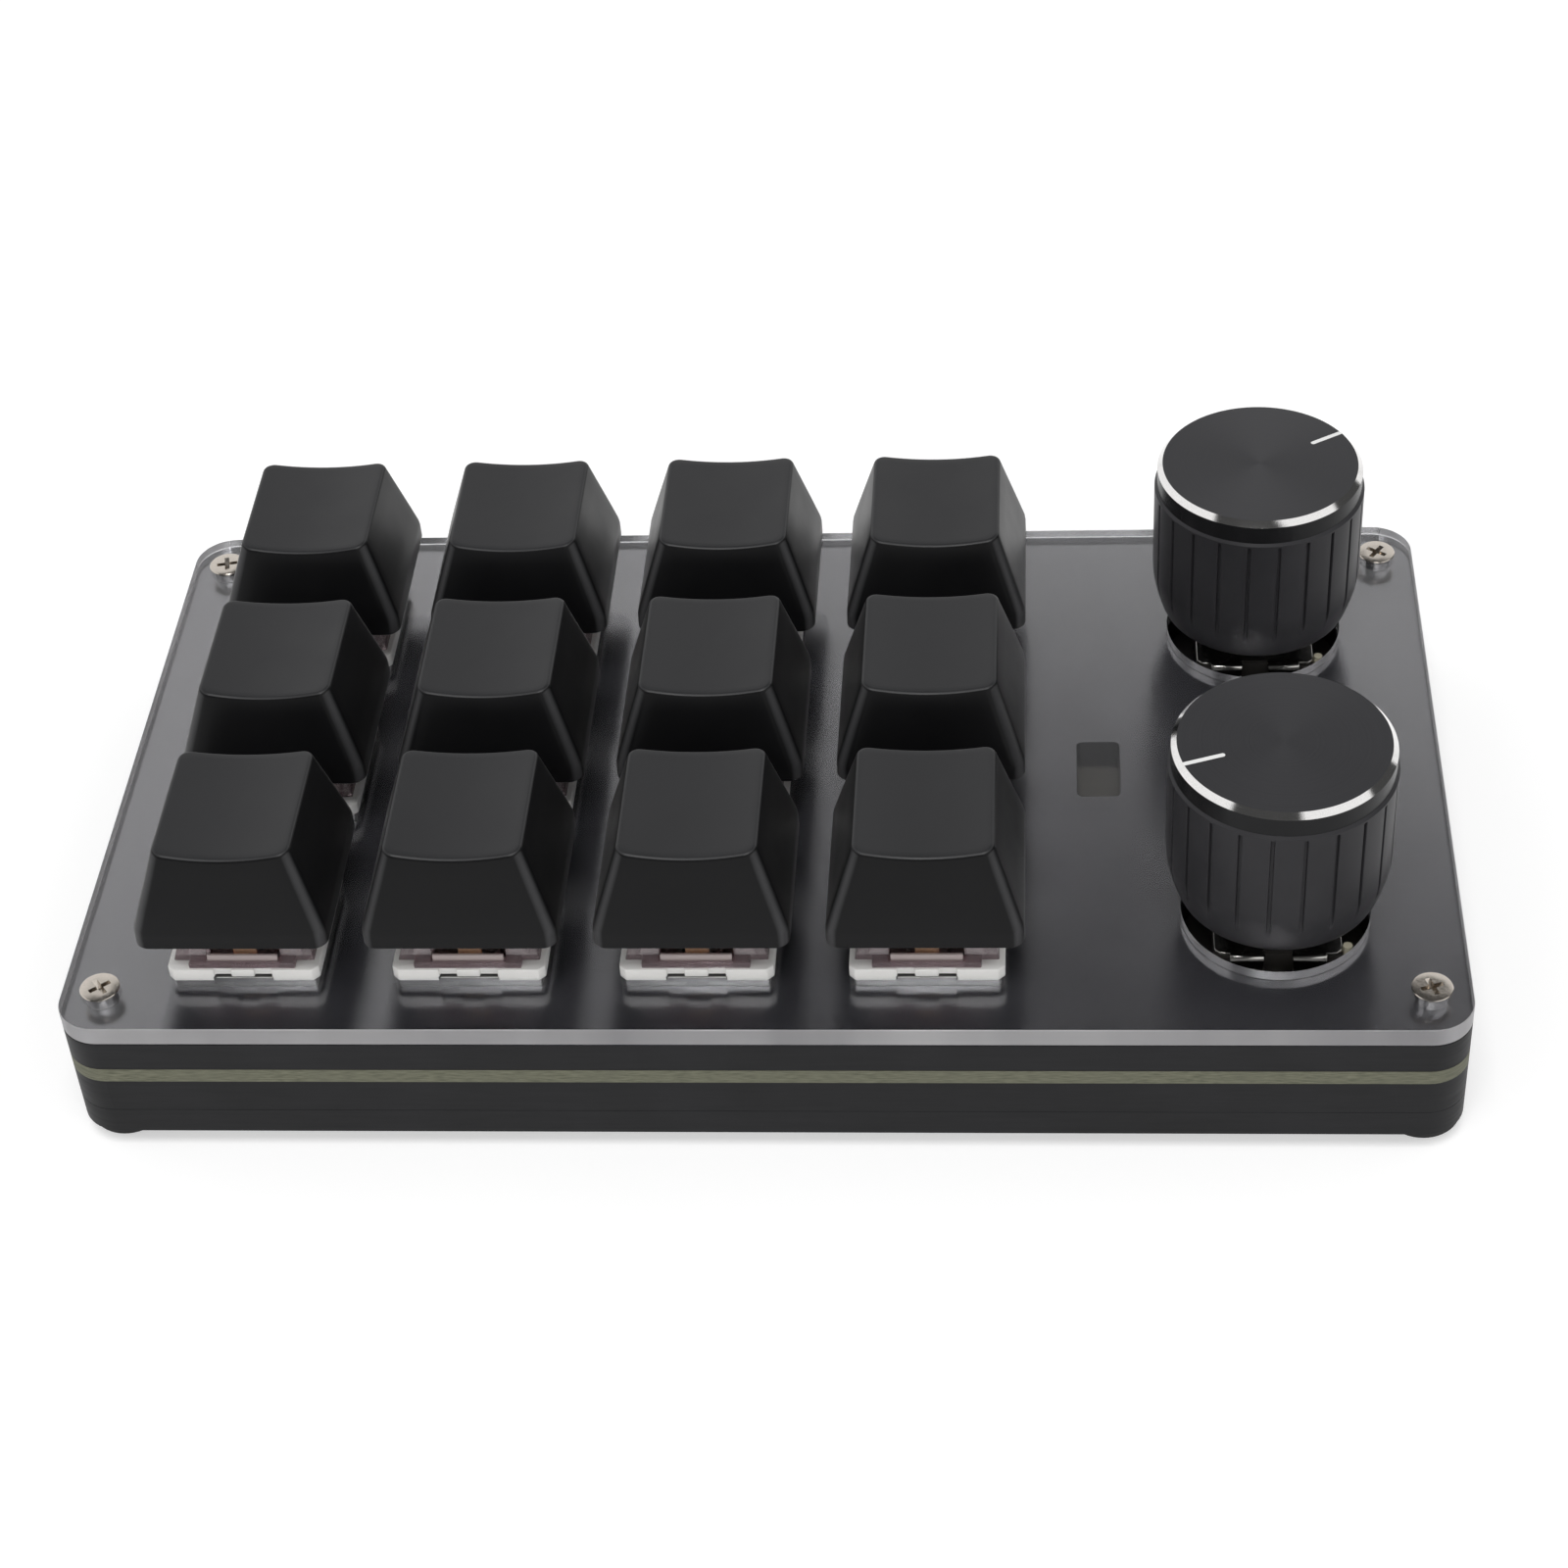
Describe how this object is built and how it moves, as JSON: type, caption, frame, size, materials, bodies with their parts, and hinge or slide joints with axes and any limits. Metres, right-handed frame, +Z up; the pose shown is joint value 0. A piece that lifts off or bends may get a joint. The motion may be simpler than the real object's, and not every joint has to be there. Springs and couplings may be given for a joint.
{
  "type": "macro keypad",
  "caption": "Desk macro keypad: a grid of mechanical keys beside two fluted push knobs, on a layered case with a clear cover plate and rubber feet.",
  "frame": {"origin": "middle of the case outline, on the plane that the rubber feet stand on", "axes": "+X along the width towards the knobs, +Y to the back, where the USB port is, +Z up"},
  "size_m": [0.1308, 0.0754, 0.0363],
  "materials": {
    "clear_acrylic": "polished clear acrylic with laser-cut edges",
    "black_acrylic": "black sheet plastic, satin faces and matte cut edges",
    "board_laminate": "glass-epoxy board with a bare olive edge",
    "nickel_screw": "nickel-plated steel, turned and driven",
    "zinc_steel": "zinc-plated steel",
    "black_rubber": "soft black rubber",
    "white_switch_plastic": "moulded white plastic",
    "clear_switch_plastic": "clear moulded plastic with a faint pink tint",
    "contact_copper": "stamped copper alloy",
    "stem_plastic": "moulded slippery plastic",
    "spring_steel": "bright spring steel",
    "keycap_plastic": "black moulded plastic with a fine eggshell grain",
    "black_anodised_aluminium": "black anodised, spun top and polished chamfer",
    "plated_steel": "stamped plated steel",
    "encoder_base_plastic": "moulded black plastic",
    "rotor_plastic": "moulded natural acetal",
    "machined_aluminium": "turned, with a milled flat",
    "tinned_brass": "tinned stamping",
    "chip_epoxy": "moulded epoxy"
  },
  "bodies": {
    "case": {"cover_plate": "clear_acrylic", "switch_plate": "black_acrylic", "lower_frame": "black_acrylic", "bottom_plate": "black_acrylic", "circuit_board": "board_laminate", "corner_screws": "nickel_screw", "corner_nuts": "zinc_steel", "rubber_feet": "black_rubber", "switch_lower_housings": "white_switch_plastic", "switch_upper_housings": "clear_switch_plastic", "switch_contacts": "contact_copper", "switch_spring_front_1": "spring_steel", "switch_spring_front_2": "spring_steel", "switch_spring_front_3": "spring_steel", "switch_spring_front_4": "spring_steel", "switch_spring_middle_1": "spring_steel", "switch_spring_middle_2": "spring_steel", "switch_spring_middle_3": "spring_steel", "switch_spring_middle_4": "spring_steel", "switch_spring_rear_1": "spring_steel", "switch_spring_rear_2": "spring_steel", "switch_spring_rear_3": "spring_steel", "switch_spring_rear_4": "spring_steel", "encoder_push_dome_front": "spring_steel", "encoder_push_dome_rear": "spring_steel", "encoder_frames": "plated_steel", "usb_receptacle": "plated_steel", "encoder_bases": "encoder_base_plastic", "encoder_terminals": "tinned_brass", "controller_chip": "chip_epoxy"},
    "key_front_1": {"keycap_front_1": "keycap_plastic", "switch_stem_front_1": "stem_plastic"},
    "key_front_2": {"keycap_front_2": "keycap_plastic", "switch_stem_front_2": "stem_plastic"},
    "key_front_3": {"keycap_front_3": "keycap_plastic", "switch_stem_front_3": "stem_plastic"},
    "key_front_4": {"keycap_front_4": "keycap_plastic", "switch_stem_front_4": "stem_plastic"},
    "key_middle_1": {"keycap_middle_1": "keycap_plastic", "switch_stem_middle_1": "stem_plastic"},
    "key_middle_2": {"keycap_middle_2": "keycap_plastic", "switch_stem_middle_2": "stem_plastic"},
    "key_middle_3": {"keycap_middle_3": "keycap_plastic", "switch_stem_middle_3": "stem_plastic"},
    "key_middle_4": {"keycap_middle_4": "keycap_plastic", "switch_stem_middle_4": "stem_plastic"},
    "key_rear_1": {"keycap_rear_1": "keycap_plastic", "switch_stem_rear_1": "stem_plastic"},
    "key_rear_2": {"keycap_rear_2": "keycap_plastic", "switch_stem_rear_2": "stem_plastic"},
    "key_rear_3": {"keycap_rear_3": "keycap_plastic", "switch_stem_rear_3": "stem_plastic"},
    "key_rear_4": {"keycap_rear_4": "keycap_plastic", "switch_stem_rear_4": "stem_plastic"},
    "rotor_front": {"encoder_rotor_front": "rotor_plastic"},
    "knob_front": {"knob_front": "black_anodised_aluminium", "encoder_shaft_front": "machined_aluminium"},
    "rotor_rear": {"encoder_rotor_rear": "rotor_plastic"},
    "knob_rear": {"knob_rear": "black_anodised_aluminium", "encoder_shaft_rear": "machined_aluminium"}
  },
  "joints": [
    {"name": "press_front_1", "type": "slide", "parent": "case", "child": "key_front_1", "axis": [0, 0, -1], "range_m": [0, 0.004], "stiffness_N_per_m": 75, "springref_m": -0.004, "deforming": ["switch_spring_front_1"]},
    {"name": "press_front_2", "type": "slide", "parent": "case", "child": "key_front_2", "axis": [0, 0, -1], "range_m": [0, 0.004], "stiffness_N_per_m": 75, "springref_m": -0.004, "deforming": ["switch_spring_front_2"]},
    {"name": "press_front_3", "type": "slide", "parent": "case", "child": "key_front_3", "axis": [0, 0, -1], "range_m": [0, 0.004], "stiffness_N_per_m": 75, "springref_m": -0.004, "deforming": ["switch_spring_front_3"]},
    {"name": "press_front_4", "type": "slide", "parent": "case", "child": "key_front_4", "axis": [0, 0, -1], "range_m": [0, 0.004], "stiffness_N_per_m": 75, "springref_m": -0.004, "deforming": ["switch_spring_front_4"]},
    {"name": "press_middle_1", "type": "slide", "parent": "case", "child": "key_middle_1", "axis": [0, 0, -1], "range_m": [0, 0.004], "stiffness_N_per_m": 75, "springref_m": -0.004, "deforming": ["switch_spring_middle_1"]},
    {"name": "press_middle_2", "type": "slide", "parent": "case", "child": "key_middle_2", "axis": [0, 0, -1], "range_m": [0, 0.004], "stiffness_N_per_m": 75, "springref_m": -0.004, "deforming": ["switch_spring_middle_2"]},
    {"name": "press_middle_3", "type": "slide", "parent": "case", "child": "key_middle_3", "axis": [0, 0, -1], "range_m": [0, 0.004], "stiffness_N_per_m": 75, "springref_m": -0.004, "deforming": ["switch_spring_middle_3"]},
    {"name": "press_middle_4", "type": "slide", "parent": "case", "child": "key_middle_4", "axis": [0, 0, -1], "range_m": [0, 0.004], "stiffness_N_per_m": 75, "springref_m": -0.004, "deforming": ["switch_spring_middle_4"]},
    {"name": "press_rear_1", "type": "slide", "parent": "case", "child": "key_rear_1", "axis": [0, 0, -1], "range_m": [0, 0.004], "stiffness_N_per_m": 75, "springref_m": -0.004, "deforming": ["switch_spring_rear_1"]},
    {"name": "press_rear_2", "type": "slide", "parent": "case", "child": "key_rear_2", "axis": [0, 0, -1], "range_m": [0, 0.004], "stiffness_N_per_m": 75, "springref_m": -0.004, "deforming": ["switch_spring_rear_2"]},
    {"name": "press_rear_3", "type": "slide", "parent": "case", "child": "key_rear_3", "axis": [0, 0, -1], "range_m": [0, 0.004], "stiffness_N_per_m": 75, "springref_m": -0.004, "deforming": ["switch_spring_rear_3"]},
    {"name": "press_rear_4", "type": "slide", "parent": "case", "child": "key_rear_4", "axis": [0, 0, -1], "range_m": [0, 0.004], "stiffness_N_per_m": 75, "springref_m": -0.004, "deforming": ["switch_spring_rear_4"]},
    {"name": "turn_front_knob", "type": "hinge", "parent": "case", "child": "rotor_front", "pos_m": [0.0482, -0.02127, 0.0135], "axis": [0, 0, 1], "continuous": true},
    {"name": "push_front_knob", "type": "slide", "parent": "rotor_front", "child": "knob_front", "axis": [0, 0, -1], "range_m": [0, 0.0005], "stiffness_N_per_m": 3000, "springref_m": -0.001, "deforming": ["encoder_push_dome_front"]},
    {"name": "turn_rear_knob", "type": "hinge", "parent": "case", "child": "rotor_rear", "pos_m": [0.0482, 0.02127, 0.0135], "axis": [0, 0, 1], "continuous": true},
    {"name": "push_rear_knob", "type": "slide", "parent": "rotor_rear", "child": "knob_rear", "axis": [0, 0, -1], "range_m": [0, 0.0005], "stiffness_N_per_m": 3000, "springref_m": -0.001, "deforming": ["encoder_push_dome_rear"]}
  ]
}
